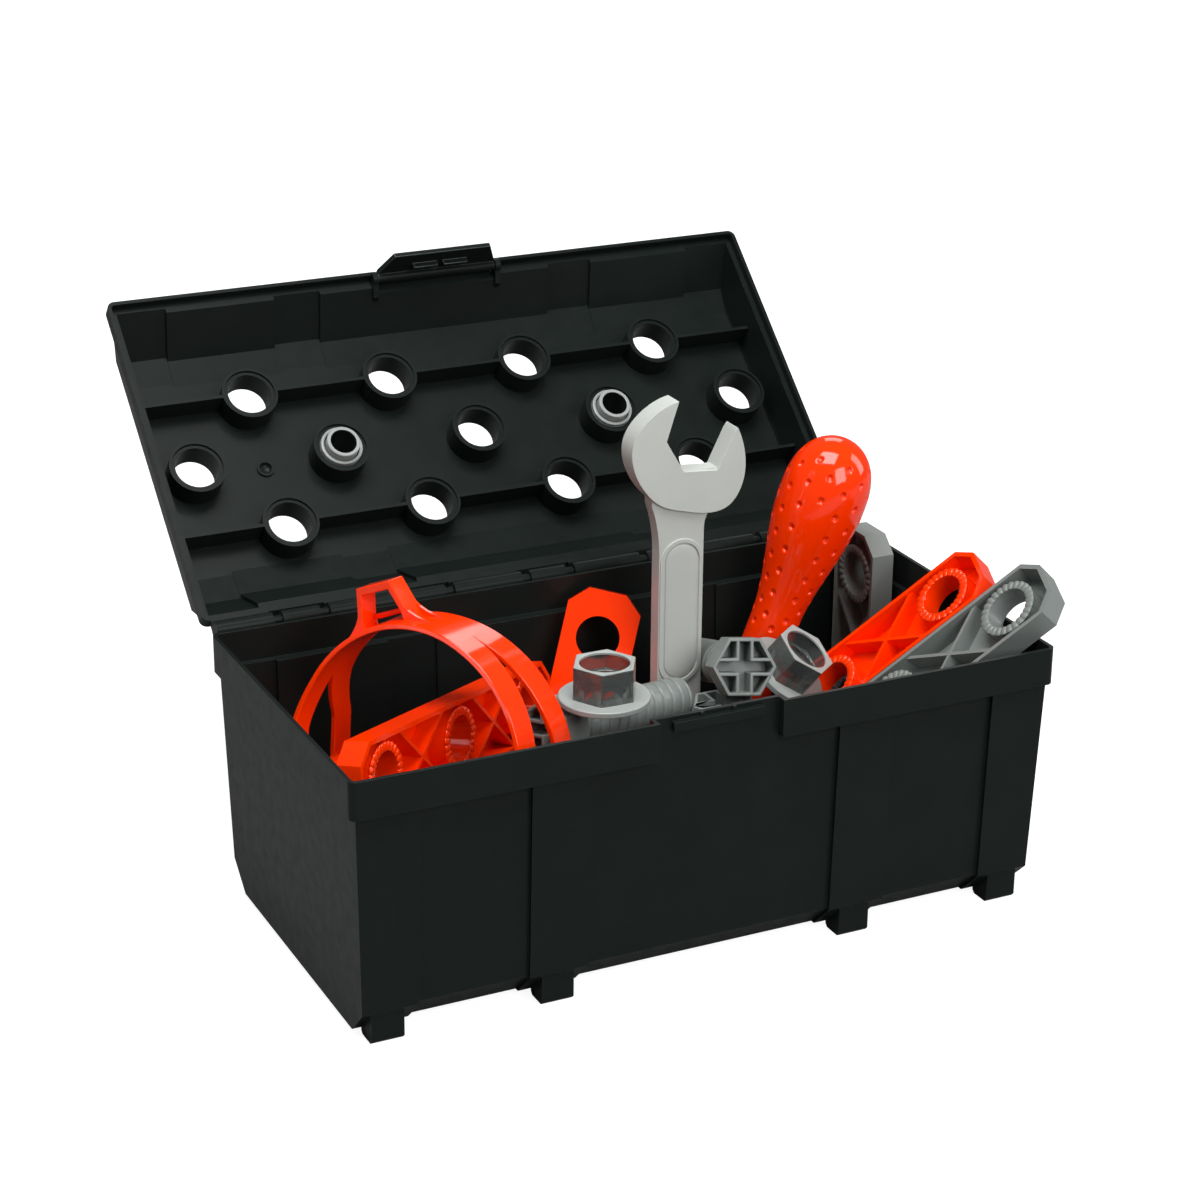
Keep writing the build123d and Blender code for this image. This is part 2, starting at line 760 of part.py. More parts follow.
def ear_band():
    """The head band: a wide arch that splits into two straps a side, with a hanging loop on top."""
    outer, inner = arch_radius, arch_radius - arch_thickness
    path = make_face(
        Curve()
        + [
            ThreePointArc((-outer, 0), (0, outer), (outer, 0)),
            Polyline((outer, 0), (outer, -arch_leg), (inner, -arch_leg), (inner, 0)),
            ThreePointArc((inner, 0), (0, inner), (-inner, 0)),
            Polyline((-inner, 0), (-inner, -arch_leg), (-outer, -arch_leg), (-outer, 0)),
        ]
    )
    band = extrude(Plane.YZ * path, arch_end_width / 2, both=True)
    top, end = arch_top_width / 2, arch_end_width / 2
    over = arch_radius + cut_over
    side_view = polygon(
        [(-top, 0, over), (top, 0, over), (end, 0, 0), (end, 0, -over), (-end, 0, -over), (-end, 0, 0)]
    )
    slit = arch_slit_width / 2
    slit_view = polygon(
        [(0, 0, arch_slit_from), (slit, 0, 0), (slit, 0, -arch_leg + 2 * arch_slit_width / 3),
         (-slit, 0, -arch_leg + 2 * arch_slit_width / 3), (-slit, 0, 0)]
    )
    band = band & extrude(side_view, over, dir=(0, 1, 0), both=True)
    band = band - extrude(slit_view, over, dir=(0, 1, 0), both=True)
    return band + ear_loop()


def ear_loop():
    """The hanging loop: a trapezoid frame that stands on the band."""
    foot_z = math.sqrt(arch_radius**2 - (loop_width / 2) ** 2) - arch_thickness
    top_z = arch_radius + loop_height
    a, b = loop_width / 2, loop_top_width / 2
    frame = polygon([(0, -a, foot_z), (0, -b, top_z), (0, b, top_z), (0, a, foot_z)])
    hole_low = arch_radius - arch_thickness / 2
    hole = polygon(
        [(0, -a + loop_bar, hole_low), (0, -b + loop_bar / 2, top_z - loop_bar),
         (0, b - loop_bar / 2, top_z - loop_bar), (0, a - loop_bar, hole_low)]
    )
    frame = extrude(frame, loop_depth / 2, dir=(1, 0, 0), both=True)
    frame = frame - extrude(hole, loop_depth, dir=(1, 0, 0), both=True)
    under = Rot(0, 90, 0) * Cylinder(arch_radius - arch_thickness, 2 * loop_depth)
    return frame - under


def oval_stack(levels):
    """A solid through upright ovals, each a distance along -Y and an inset from the cup's outline."""
    rings = []
    for y, inset in levels:
        across, along = cup_width / 2 - inset, cup_height / 2 - inset
        corners = oval_points((0, 0), (across, along), 0, 360, cup_side_count)[:-1]
        rings.append(polygon([(x, -y, z) for x, z in corners]))
    return shell_loft(rings)


def ear_cup():
    """One ear shell, its open side towards -Y and its back touching the band at Y of zero."""
    shoulder = cup_depth * 3 / 4
    body = oval_stack(((0, 3 * cup_step), (cup_depth / 4, cup_step), (shoulder, 0), (cup_depth, 0)))
    hollow = oval_stack(
        ((cup_wall, 3 * cup_step + cup_wall), (shoulder, cup_wall), (cup_depth + cut_over, cup_wall))
    )
    return body - hollow


def ear_cushion():
    """One oval ring cushion in front of its shell."""
    outer = []
    inner = []
    for share, inset in ((0, cushion_ring / 5), (1 / 3, 0), (2 / 3, 0), (1, cushion_ring / 4)):
        y = cup_depth + share * cushion_thickness
        outer.append((y, inset))
        inner.append((y, cushion_ring - inset / 2))
    return oval_stack(outer) - oval_stack(inner)


def ear_pair(side):
    """One ear's shell and cushion, hung inside the band's ends."""
    turn = Rot(0, 0, 0) if side > 0 else Rot(0, 0, 180)
    drop = Pos(0, arch_radius - arch_thickness, -arch_leg)
    return turn * drop * ear_cup(), turn * drop * ear_cushion()


plug_z = lid_base + lid_height
handle_axis_z = plug_z + plug_flange + lug_reach


def handle_mounts_shut():
    """Two plugs through the lid, each with a tube end inside and a lug for the handle outside."""
    low = (Align.CENTER, Align.CENTER, Align.MIN)
    plugs = []
    for side in (-1, 1):
        x = side * socket_pitch
        inner_z = mouth_z - plug_tip_proud
        collar_z = mouth_z + wall / 2
        body = Pos(x, 0, plug_z) * Cylinder(plug_flange_radius, plug_flange, align=low)
        body = body + Pos(x, 0, collar_z) * Cylinder(
            socket_bore_radius - plug_clearance, plug_z + plug_flange / 2 - collar_z, align=low
        )
        body = body + Pos(x, 0, inner_z) * Cylinder(plug_tip_radius, collar_z + wall - inner_z, align=low)
        lug = Pos(x, 0, plug_z + plug_flange / 2) * Box(
            lug_width, 2 * lug_radius, handle_axis_z - plug_z - plug_flange / 2, align=low
        ) + rod(x - lug_width / 2, x + lug_width / 2, 0, handle_axis_z, lug_radius)
        body = body + lug
        body = body - Pos(x, 0, inner_z - cut_over) * Cylinder(
            plug_tip_bore_radius, plug_z - inner_z + cut_over, align=low
        )
        pin_to = side * (lug_width / 2 + handle_eye + 2 * handle_eye_gap)
        a, b = sorted((x, x + pin_to))
        body = body + rod(a, b, 0, handle_axis_z, handle_pin_radius)
        plugs.append(body)
    return Compound(plugs)


def carry_handle_shut():
    """The bail handle, folded to where it hangs when the lid is open."""
    reach = handle_reach
    x = socket_pitch + lug_width / 2 + handle_eye_gap + handle_eye / 2
    parts = None
    for side in (-1, 1):
        eye = rod(side * x - handle_eye / 2, side * x + handle_eye / 2, 0, 0, handle_eye_radius)
        leg = Pos(side * x, 0, 0) * Box(
            handle_eye, 2 * handle_rod_radius, reach, align=(Align.CENTER, Align.CENTER, Align.MIN)
        )
        arm = eye + leg
        parts = arm if parts is None else parts + arm
    bar = rod(-x - handle_eye / 2, x + handle_eye / 2, 0, reach, handle_rod_radius)
    grip = rod(-handle_grip_length / 2, handle_grip_length / 2, 0, reach, handle_grip_radius)
    body = parts + bar + chamfer(grip.edges().filter_by(GeomType.CIRCLE), handle_grip_radius / 4)
    for side in (-1, 1):
        hole_from, hole_to = sorted((side * (x - handle_eye), side * (x + handle_eye)))
        body = body - rod(hole_from, hole_to, 0, 0, handle_pin_radius + pin_clearance)
    return Pos(0, 0, handle_axis_z) * Rot(-(90 - handle_fold), 0, 0) * body


def placed(name, piece):
    """Put a tool where it lies in the box."""
    x, y, z = tool_places[name]
    return Pos(x, y, floor_gap + wall + z) * Rot(*tool_turns[name]) * piece


def every_node():
    """Every node's solid, in the box's own frame."""
    nodes = {
        "tub": tub(),
        "lid": opened(lid_shut()),
        "latch_flap": opened(latch_flap_shut()),
        "handle_mounts": opened(handle_mounts_shut()),
        "carry_handle": opened(carry_handle_shut()),
        "wrench": placed("wrench", wrench()),
        "hammer_handle": placed("hammer", hammer_handle()),
        "hammer_head": placed("hammer", hammer_head()),
        "ear_defender_band": placed("ear_defenders", ear_band()),
    }
    for side, name in ((-1, "left"), (1, "right")):
        cup, cushion = ear_pair(side)
        nodes[f"ear_cup_{name}"] = placed("ear_defenders", cup)
        nodes[f"ear_cushion_{name}"] = placed("ear_defenders", cushion)
    for name, holes in beam_ring_counts.items():
        nodes[name] = placed(name, beam(holes))
    for name in ("bolt_centre", "bolt_front", "bolt_left"):
        nodes[name] = placed(name, bolt())
    for name in ("nut_left", "nut_right"):
        nodes[name] = placed(name, nut())
    return nodes


def write_nodes(nodes):
    """Write every node, moved so that the footprint of the whole has its middle at the origin."""
    boxes = [shape.bounding_box() for shape in nodes.values()]
    middle_x = (min(b.min.X for b in boxes) + max(b.max.X for b in boxes)) / 2
    middle_y = (min(b.min.Y for b in boxes) + max(b.max.Y for b in boxes)) / 2
    for name, shape in nodes.items():
        export_step(Pos(-middle_x, -middle_y, 0) * shape, f"parts/{name}.step")


os.makedirs("parts", exist_ok=True)
write_nodes(every_node())
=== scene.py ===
import json

import bmesh
import bpy
import numpy as np
from mathutils import Matrix, Vector


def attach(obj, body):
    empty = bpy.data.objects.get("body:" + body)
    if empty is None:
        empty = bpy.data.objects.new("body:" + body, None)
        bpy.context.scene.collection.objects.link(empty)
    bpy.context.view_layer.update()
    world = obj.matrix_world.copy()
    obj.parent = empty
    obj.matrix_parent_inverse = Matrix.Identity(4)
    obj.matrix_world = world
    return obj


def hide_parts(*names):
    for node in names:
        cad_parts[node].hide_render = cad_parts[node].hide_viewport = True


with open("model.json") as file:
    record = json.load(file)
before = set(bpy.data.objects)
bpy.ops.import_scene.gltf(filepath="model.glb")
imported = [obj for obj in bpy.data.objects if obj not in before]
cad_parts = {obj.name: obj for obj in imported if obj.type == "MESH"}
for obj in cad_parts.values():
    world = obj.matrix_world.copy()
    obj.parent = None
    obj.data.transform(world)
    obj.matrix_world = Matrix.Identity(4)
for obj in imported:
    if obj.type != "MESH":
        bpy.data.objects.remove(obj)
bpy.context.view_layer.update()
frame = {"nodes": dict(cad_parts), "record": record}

MM = 0.001
# Where the middle of the tool box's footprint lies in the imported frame
BOX_MIDDLE_MM = np.array((-8.891, -78.957, 0.0))

NODE_BODY = {node: body for body, nodes in frame["record"]["behaviour"]["bodies"].items()
             for node in nodes}

# Where each loose tool lies, in mm from the box's middle, and its turns about X, Y and Z
TOOL_LIES = {
    "wrench": ((42.994, 36.005, 190.619), (-0.0, 0.0, 0.0)),
    "hammer": ((87.838, 64.277, 35.245), (4.1, 19.3, 0.0)),
    "ear_defenders": ((-108.003, 0.0, 99.47), (-3.2, 4.7, 34.1)),
    "beam_orange_left": ((-36.26, 42.541, 93.095), (81.0, 40.4, -3.4)),
    "beam_orange_centre": ((17.612, 75.316, 108.468), (-113.8, 24.1, -67.5)),
    "beam_orange_right": ((167.573, -15.827, 141.022), (-0.5, -47.5, -23.1)),
    "beam_grey_right": ((175.38, -63.289, 149.578), (-0.5, -47.5, -23.1)),
    "beam_grey_back": ((164.687, 65.911, 123.455), (0.0, -90.0, 0.0)),
    "bolt_centre": ((58.941, -8.512, 116.817), (70.3, -10.4, -8.8)),
    "bolt_front": ((50.505, -1.995, 97.304), (-0.0, 0.0, 0.0)),
    "bolt_left": ((-53.576, -15.485, 105.998), (71.6, -71.6, 83.2)),
    "nut_left": ((-27.713, -25.707, 121.564), (-0.0, 0.0, 0.0)),
    "nut_right": ((97.643, 19.722, 95.303), (29.4, 23.5, -27.4)),
}


def turn_matrix(degrees):
    """Turn about X, then the turned Y, then the turned Z: the product of three plain turns."""
    a, b, c = np.radians(degrees)
    about_x = np.array([[1, 0, 0], [0, np.cos(a), -np.sin(a)], [0, np.sin(a), np.cos(a)]])
    about_y = np.array([[np.cos(b), 0, np.sin(b)], [0, 1, 0], [-np.sin(b), 0, np.cos(b)]])
    about_z = np.array([[np.cos(c), -np.sin(c), 0], [np.sin(c), np.cos(c), 0], [0, 0, 1]])
    return about_x @ about_y @ about_z


def where_it_lies(tool, points):
    """Carry points of a tool's own frame, in mm, to its place in the box, in metres."""
    place, turns = TOOL_LIES[tool]
    return (np.asarray(points, float) @ turn_matrix(turns).T + np.array(place) + BOX_MIDDLE_MM) * MM


def in_tool_frame(tool, points):
    """The way back: points in metres to the tool's own frame in mm."""
    place, turns = TOOL_LIES[tool]
    return (np.asarray(points, float) / MM - BOX_MIDDLE_MM - np.array(place)) @ turn_matrix(turns)


# The lid stands open by this turn about its hinge; its shapes are worked out as it lies shut
LID_OPEN, HINGE_Y, HINGE_Z = 138.0, 101.0, 137.0


def on_open_lid(points):
    """Carry points of the shut lid, in mm from the box's middle, round the hinge, in metres."""
    x, y, z = np.moveaxis(np.asarray(points, float), -1, 0)
    c, s = np.cos(np.radians(LID_OPEN)), np.sin(np.radians(LID_OPEN))
    y, z = y - HINGE_Y, z - HINGE_Z
    turned = np.stack([x, HINGE_Y + c * y + s * z, HINGE_Z - s * y + c * z], -1)
    return (turned + BOX_MIDDLE_MM) * MM


def in_shut_lid(points):
    """The way back: points of the open lid in metres to their places in the shut lid, in mm."""
    x, y, z = np.moveaxis(np.asarray(points, float) / MM - BOX_MIDDLE_MM, -1, 0)
    c, s = np.cos(np.radians(LID_OPEN)), np.sin(np.radians(LID_OPEN))
    y, z = y - HINGE_Y, z - HINGE_Z
    return np.stack([x, HINGE_Y + c * y - s * z, HINGE_Z + s * y + c * z], -1)


# Colours and materials


def linear(code):
    """The linear RGBA of an sRGB hex colour."""
    shares = np.array([int(code[i:i + 2], 16) for i in (1, 3, 5)]) / 255
    low, high = shares / 12.92, ((shares + 0.055) / 1.055) ** 2.4
    return [*np.where(shares <= 0.04045, low, high).tolist(), 1.0]


def add(tree, kind, settings, links=()):
    """Add a node, set its named fields or sockets, and join its inputs to other nodes' outputs."""
    made = tree.nodes.new(kind)
    for key, value in settings.items():
        if isinstance(key, str) and hasattr(made, key) and key not in made.inputs:
            setattr(made, key, value)
        else:
            made.inputs[key].default_value = value
    for socket, (source, output) in links:
        tree.links.new(made.inputs[socket], source.outputs[output])
    return made


def new_material(name):
    """An empty material, its node tree, and the node that gives places on the object, in metres."""
    material = bpy.data.materials.new(name)
    material.use_nodes = True
    material.node_tree.nodes.clear()
    return material, material.node_tree, add(material.node_tree, "ShaderNodeTexCoord", {})


# A noise pattern's Scale is its count of cells in a metre: this over the cell's size in mm
METRE_MM = 1000
# How far a plastic's colour and its gloss stay alike, and how the gloss varies about its roughness
MOTTLE_MM, RUB_MM = 22.0, 22.0 / 3
GLOSSIER, MATTER = 0.88, 1.16
MOULDED_IOR, POLYSTYRENE_IOR = 1.49, 1.59
MELT_WAVE_MM = 7.0


def moulded_plastic(name, colour, shade, roughness, grain_mm, grain_depth_mm, specular=0.5):
    """An injection-moulded plastic: its colour drifts a little, its gloss varies with handling,
    and its surface has the fine grain that the steel mould was spark-eroded or stoned with."""
    material, tree, place = new_material(name)
    drift = add(tree, "ShaderNodeTexNoise", {"Scale": METRE_MM / MOTTLE_MM, "Detail": 3.0},
                [("Vector", (place, "Object"))])
    tint = add(tree, "ShaderNodeMix", {"data_type": "RGBA", 6: linear(colour), 7: linear(shade)},
               [(0, (drift, "Fac"))])
    rub = add(tree, "ShaderNodeTexNoise",
              {"Scale": METRE_MM / RUB_MM, "Detail": 5.0, "Roughness": 0.65},
              [("Vector", (place, "Object"))])
    gloss = add(tree, "ShaderNodeMapRange",
                {"From Min": 0.3, "From Max": 0.7,
                 "To Min": roughness * GLOSSIER, "To Max": roughness * MATTER},
                [("Value", (rub, "Fac"))])
    grain = add(tree, "ShaderNodeTexNoise", {"Scale": METRE_MM / grain_mm, "Detail": 2.0},
                [("Vector", (place, "Object"))])
    bump = add(tree, "ShaderNodeBump", {"Strength": 1.0, "Distance": grain_depth_mm * MM},
               [("Height", (grain, "Fac"))])
    shader = add(tree, "ShaderNodeBsdfPrincipled",
                 {"IOR": MOULDED_IOR, "Specular IOR Level": specular},
                 [("Base Color", (tint, 2)), ("Roughness", (gloss, 0)), ("Normal", (bump, 0))])
    add(tree, "ShaderNodeOutputMaterial", {}, [("Surface", (shader, 0))])
    return material


# Black polypropylene from a spark-eroded mould: dark, a soft satin sheen and a fine even grain
BLACK_PP = moulded_plastic(
    "black polypropylene, spark-eroded satin", "#131817", "#181E1C", roughness=0.34,
    grain_mm=0.9, grain_depth_mm=0.01, specular=0.11)
# The same polypropylene on its moulded edges, a little smoother, and paler as a painted highlight
# of the light that rounded edges catch
BLACK_PP_PAINTED_EDGE_HIGHLIGHT = moulded_plastic(
    "black polypropylene, painted edge highlight", "#2C3331", "#343C39", roughness=0.26,
    grain_mm=0.9, grain_depth_mm=0.006)
# Orange polypropylene from a polished mould: strong colour, wet-looking highlights, faint waves
ORANGE_PP = moulded_plastic(
    "orange polypropylene, polished mould", "#FF3200", "#FF3B00", roughness=0.09,
    grain_mm=7.0, grain_depth_mm=0.02)
# Grey polypropylene from a stoned mould: mid grey, satin
GREY_PP = moulded_plastic(
    "grey polypropylene, satin", "#757B78", "#7F8582", roughness=0.36,
    grain_mm=1.6, grain_depth_mm=0.014)
# Pale grey ABS, for the handle's plugs: smooth and a little glossier
PALE_ABS = moulded_plastic(
    "pale grey ABS, smooth", "#8C918F", "#989D9B", roughness=0.3,
    grain_mm=2.4, grain_depth_mm=0.01)
# Silver-grey ABS, pale and satin: a broad soft highlight
SILVER_ABS = moulded_plastic(
    "silver-grey ABS, satin", "#BCC0BB", "#C4C8C3", roughness=0.34,
    grain_mm=1.4, grain_depth_mm=0.012)


def clear_polystyrene(name, colour, roughness, transmission, wave_mm):
    """Clear moulded polystyrene: light bends in its walls, and slow waves of the melt show."""
    material, tree, place = new_material(name)
    flow = add(tree, "ShaderNodeTexNoise", {"Scale": METRE_MM / MELT_WAVE_MM, "Detail": 2.0},
               [("Vector", (place, "Object"))])
    bump = add(tree, "ShaderNodeBump", {"Strength": 1.0, "Distance": wave_mm * MM},
               [("Height", (flow, "Fac"))])
    shader = add(tree, "ShaderNodeBsdfPrincipled",
                 {"Base Color": linear(colour), "Roughness": roughness, "IOR": POLYSTYRENE_IOR,
                  "Transmission Weight": transmission}, [("Normal", (bump, 0))])
    add(tree, "ShaderNodeOutputMaterial", {}, [("Surface", (shader, 0))])
    return material


# Smoky clear polystyrene from a polished mould: dark through its walls, bright along its edges
SMOKY_PS = clear_polystyrene(
    "smoky clear polystyrene, polished", "#8B9290", roughness=0.07, transmission=0.8, wave_mm=0.03)
# The same resin where the mould was matt, on the nut's flange and rim: a pale frosted grey
FROSTED_PS = clear_polystyrene(
    "smoky polystyrene, frosted", "#A3A9A6", roughness=0.4, transmission=0.12, wave_mm=0.05)

FINISH = {
    "black_plastic": BLACK_PP, "orange_plastic": ORANGE_PP, "grey_plastic": GREY_PP,
    "silver_plastic": SILVER_ABS, "light_grey_plastic": PALE_ABS, "smoky_plastic": SMOKY_PS,
}
NODE_SLOT = {part["node"]: part["material_slot"] for part in frame["record"]["subparts"]}


# Making pieces


# Copies of a CAD node: points this near are one, faces flatter than this are one, and edges
# sharper than this are rounded
SAME_POINT_MM, FLAT_DEGREES, EDGE_DEGREES = 0.002, 1.0, 32.0


def piece(name, points, faces, node):
    """Put worked-out points, in metres, and faces into a mesh that rides with a node's body."""
    mesh = bpy.data.meshes.new(name)
    mesh.from_pydata(np.asarray(points).tolist(), [], [list(f) for f in faces])
    mesh.update()
    made = bpy.data.objects.new(name, mesh)
    bpy.context.scene.collection.objects.link(made)
    mesh.materials.append(FINISH[NODE_SLOT[node]])
    mesh.shade_smooth()
    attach(made, NODE_BODY[node])
    return made


def grid_faces(rows, columns, round_rows=False, round_columns=True):
    """Four-sided faces between neighbours in a rows by columns grid of points, closed if asked."""
    i = np.arange(rows if round_rows else rows - 1)[:, None]
    j = np.arange(columns if round_columns else columns - 1)[None, :]
    i2, j2 = (i + 1) % rows, (j + 1) % columns
    quads = np.stack([i * columns + j, i * columns + j2, i2 * columns + j2, i2 * columns + j], -1)
    return quads.reshape(-1, 4)


def sharp_by_angle(made, degrees):
    """Smooth shading that keeps edges sharper than the angle."""
    with bpy.context.temp_override(object=made, active_object=made, selected_objects=[made],
                                   selected_editable_objects=[made]):
        bpy.ops.object.shade_smooth_by_angle(angle=np.radians(degrees))


def merged_copy(node, name=None):
    """A CAD node's own shape in a new object, its triangles merged into a skin of flat faces."""
    made = bpy.data.objects.new(name or f"{node}_moulding", frame["nodes"][node].data.copy())
    bpy.context.scene.collection.objects.link(made)
    skin = bmesh.new()
    skin.from_mesh(made.data)
    bmesh.ops.remove_doubles(skin, verts=skin.verts, dist=SAME_POINT_MM * MM)
    bmesh.ops.dissolve_limit(skin, angle_limit=np.radians(FLAT_DEGREES), verts=skin.verts,
                             edges=skin.edges)
    skin.to_mesh(made.data)
    skin.free()
    made.data.materials.clear()
    made.data.materials.append(FINISH[NODE_SLOT[node]])
    return made


def finished(made, node, width_mm, steps=2):
    """Round a merged copy's moulded edges by the width, and let it stand for its CAD node."""
    edge = made.modifiers.new("moulded edges", "BEVEL")
    edge.width = width_mm * MM
    edge.segments = steps
    edge.limit_method = "ANGLE"
    edge.angle_limit = np.radians(EDGE_DEGREES)
    edge.use_clamp_overlap = True
    # Black mouldings take the paler edge material on their bevels: a painted highlight along every
    # rounded edge
    if NODE_SLOT[node] == "black_plastic":
        made.data.materials.append(BLACK_PP_PAINTED_EDGE_HIGHLIGHT)
        edge.material = 1
    sharp_by_angle(made, EDGE_DEGREES)
    flat = made.modifiers.new("even shading", "WEIGHTED_NORMAL")
    flat.keep_sharp = True
    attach(made, NODE_BODY[node])
    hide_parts(node)
    return made


def corner_places(mesh):
    """All of a mesh's points as one array, in metres."""
    places = np.empty(3 * len(mesh.vertices))
    mesh.vertices.foreach_get("co", places)
    return places.reshape(-1, 3)


def move_corners(mesh, places):
    """Write a mesh's points back, in metres."""
    mesh.vertices.foreach_set("co", places.ravel())
    mesh.update()


def face_middles(mesh):
    """The middles of a mesh's faces as one array, in metres."""
    middles = np.empty(3 * len(mesh.polygons))
    mesh.polygons.foreach_get("center", middles)
    return middles.reshape(-1, 3)


# Nodes that keep their CAD shape but for its edges, and by how much those are rounded
ROUNDED_EDGES_MM = {
    "tub": 0.9, "latch_flap": 0.4, "carry_handle": 1.2, "wrench": 2.2, "ear_cup_left": 0.8,
    "ear_cup_right": 0.8, "ear_cushion_left": 2.5, "ear_cushion_right": 2.5, "hammer_head": 0.9,
}
for cad_node, edge_mm in ROUNDED_EDGES_MM.items():
    finished(merged_copy(cad_node), cad_node, edge_mm, steps=3 if edge_mm > 1 else 2)

# The lid: a step is cut into each socket's mouth and a small bowl into each round mark

SOCKET_PITCH, SOCKET_ROWS, MOUTH_Z, ROOF_INNER = 79.3, 39.2, 153.0, 166.5
STEP_RADIUS, STEP_DEPTH = 13.6, 1.2
BOWL_RADIUS, BOWL_DEPTH = 3.1, 1.25
# How far the cutters start outside the surface that they cut
STEP_CLEAR, BOWL_CLEAR = 0.5, 0.3
LID_EDGE_MM = 0.4


def turned_cutters(profile, places):
    """Closed round bodies on upright axes: one outline of (radius, height) turned at each place."""
    t = np.linspace(0, 2 * np.pi, 64, endpoint=False)
    radius, height = np.array(profile).T[:, :, None]
    ring = np.stack([radius * np.cos(t), radius * np.sin(t), height + 0 * t], -1)
    points = np.array([(x, y, 0.0) for x, y in places])[:, None, :] + ring.reshape(1, -1, 3)
    one = grid_faces(len(profile), t.size)
    faces = np.concatenate([one + k * len(profile) * t.size for k in range(len(places))])
    mesh = bpy.data.meshes.new("cutters")
    mesh.from_pydata(on_open_lid(points.reshape(-1, 3)).tolist(), [], faces.tolist())
    skin = bmesh.new()
    skin.from_mesh(mesh)
    bmesh.ops.remove_doubles(skin, verts=skin.verts, dist=SAME_POINT_MM * MM)
    bmesh.ops.recalc_face_normals(skin, faces=skin.faces)
    skin.to_mesh(mesh)
    skin.free()
    cutters = bpy.data.objects.new("cutters", mesh)
    bpy.context.scene.collection.objects.link(cutters)
    return cutters


def cut_away(made, cutters):
    """Take the cutters out of a piece for good."""
    cut = made.modifiers.new("cut", "BOOLEAN")
    cut.operation, cut.solver, cut.object = "DIFFERENCE", "EXACT", cutters
    cut_piece = made.evaluated_get(bpy.context.evaluated_depsgraph_get())
    result = bpy.data.meshes.new_from_object(cut_piece)
    made.modifiers.clear()
    made.data = result
    bpy.data.objects.remove(cutters)


socket_spots = [((i - (count - 1) / 2) * SOCKET_PITCH, row * SOCKET_ROWS)
                for row, count in ((-1, 4), (0, 5), (1, 4)) for i in range(count)]
mark_spots = [(side * 1.5 * SOCKET_PITCH, 0.0) for side in (-1, 1)]
lid_moulding = merged_copy("lid")
cut_away(lid_moulding, turned_cutters(
    [(0.0, MOUTH_Z - STEP_CLEAR), (STEP_RADIUS, MOUTH_Z - STEP_CLEAR),
     (STEP_RADIUS, MOUTH_Z + STEP_DEPTH), (0.0, MOUTH_Z + STEP_DEPTH)], socket_spots))
bowl = np.linspace(0, np.pi / 2, 7)
cut_away(lid_moulding, turned_cutters(
    [(0.0, ROOF_INNER - BOWL_CLEAR), (BOWL_RADIUS, ROOF_INNER - BOWL_CLEAR),
     *zip(BOWL_RADIUS * np.cos(bowl), ROOF_INNER + BOWL_DEPTH * np.sin(bowl))], mark_spots))
finished(lid_moulding, "lid", LID_EDGE_MM)

# The ledge of the lid's rim that runs on over the latch's gap, clear of the flap's swing
LEDGE_HALF, LEDGE_ROUND = 34.4, 0.4
LEDGE_FROM, LEDGE_TO, LEDGE_LOW, LEDGE_HIGH = -88.4, -94.9, 145.1, 146.6


def rim_ledge():
    """A flat strip: its round-cornered outline across the lid's rim, carried along the rim."""
    r = LEDGE_ROUND
    corner_places_and_turns = (
        (LEDGE_FROM - r, LEDGE_HIGH - r, 0), (LEDGE_TO + r, LEDGE_HIGH - r, np.pi / 2),
        (LEDGE_TO + r, LEDGE_LOW + r, np.pi), (LEDGE_FROM - r, LEDGE_LOW + r, -np.pi / 2))
    outline = [(y + r * np.cos(a + turn), z + r * np.sin(a + turn))
               for y, z, turn in corner_places_and_turns for a in (0.0, np.pi / 4, np.pi / 2)]
    y, z = np.array(outline).T
    points = np.concatenate([np.stack([np.full_like(y, x), y, z], -1)
                             for x in (-LEDGE_HALF, LEDGE_HALF)])
    n = len(outline)
    faces = grid_faces(2, n).tolist() + [list(range(n - 1, -1, -1)), list(range(n, 2 * n))]
    ledge = piece("lid_rim_ledge", on_open_lid(points), faces, "lid")
    sharp_by_angle(ledge, 50.0)
    return ledge


rim_ledge()

# The handle's plugs: a stouter tube end, and a collar round it in the socket's mouth

PLUG_TIP_Z, PLUG_TUBE_CAD, PLUG_BORE_CAD, PLUG_TUBE, PLUG_BORE = 148.0, 7.25, 5.75, 9.0, 6.9
COLLAR_IN, COLLAR_OUT, COLLAR_FACE, COLLAR_FOOT = 9.5, 11.3, 152.2, 154.2
# How near a radius a point counts as on it, how far behind the tip the bore is widened, and how
# far in from the collar's foot the bore is painted black as its shade
ON_RADIUS, BORE_WIDENED, BORE_PAINTED_SHADE_DEPTH, PLUG_EDGE_MM = 0.3, 0.5, 12.0, 0.5


def plug_collar(x, name):
    """A ring with rounded lips: a closed outline of (radius, height) turned about the plug."""
    t = np.linspace(0, 2 * np.pi, 96, endpoint=False)
    radius = np.array([COLLAR_IN, COLLAR_IN, COLLAR_IN + 0.12, COLLAR_IN + 0.4, COLLAR_OUT - 0.5,
                       COLLAR_OUT - 0.15, COLLAR_OUT, COLLAR_OUT])[:, None]
    height = np.array([COLLAR_FOOT, COLLAR_FACE + 0.4, COLLAR_FACE + 0.12, COLLAR_FACE, COLLAR_FACE,
                       COLLAR_FACE + 0.15, COLLAR_FACE + 0.5, COLLAR_FOOT])[:, None]
    points = np.stack([x + radius * np.cos(t), radius * np.sin(t), height + 0 * t], -1)
    faces = grid_faces(len(radius), t.size, round_rows=True)[:, ::-1]
    return piece(name, on_open_lid(points.reshape(-1, 3)), faces, "handle_mounts")


